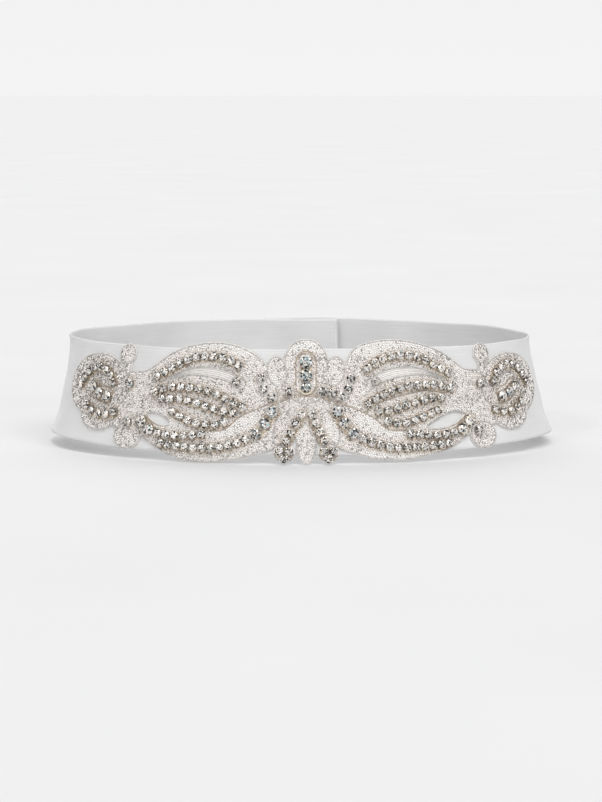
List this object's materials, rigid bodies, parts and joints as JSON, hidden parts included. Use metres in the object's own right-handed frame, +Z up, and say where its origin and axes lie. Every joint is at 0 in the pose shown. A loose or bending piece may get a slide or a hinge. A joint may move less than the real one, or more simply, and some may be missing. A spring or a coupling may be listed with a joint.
{
  "type": "bridal sash",
  "caption": "Hollow worn waist sash: a ribbon ring, lapped and hooked at the back, with a beaded rhinestone applique across its front.",
  "frame": {"origin": "centre of the worn ring, at the ribbon's mid height, where the wearer's waist holds it", "axes": "+Z up along the wearer's waist, front and applique towards -Y, +X to the right seen from the front"},
  "size_m": [0.2528, 0.1952, 0.0586],
  "materials": {
    "ribbon": "white woven satin ribbon",
    "beadwork": "net sewn over with clear silver-lined beads",
    "rhinestone": "foiled clear cut stones",
    "hook_metal": "nickel-plated"
  },
  "bodies": {
    "root": {"ribbon": "ribbon", "applique": "beadwork", "hook_upper": "hook_metal", "hook_lower": "hook_metal", "bar_upper": "hook_metal", "bar_lower": "hook_metal"}
  },
  "joints": []
}
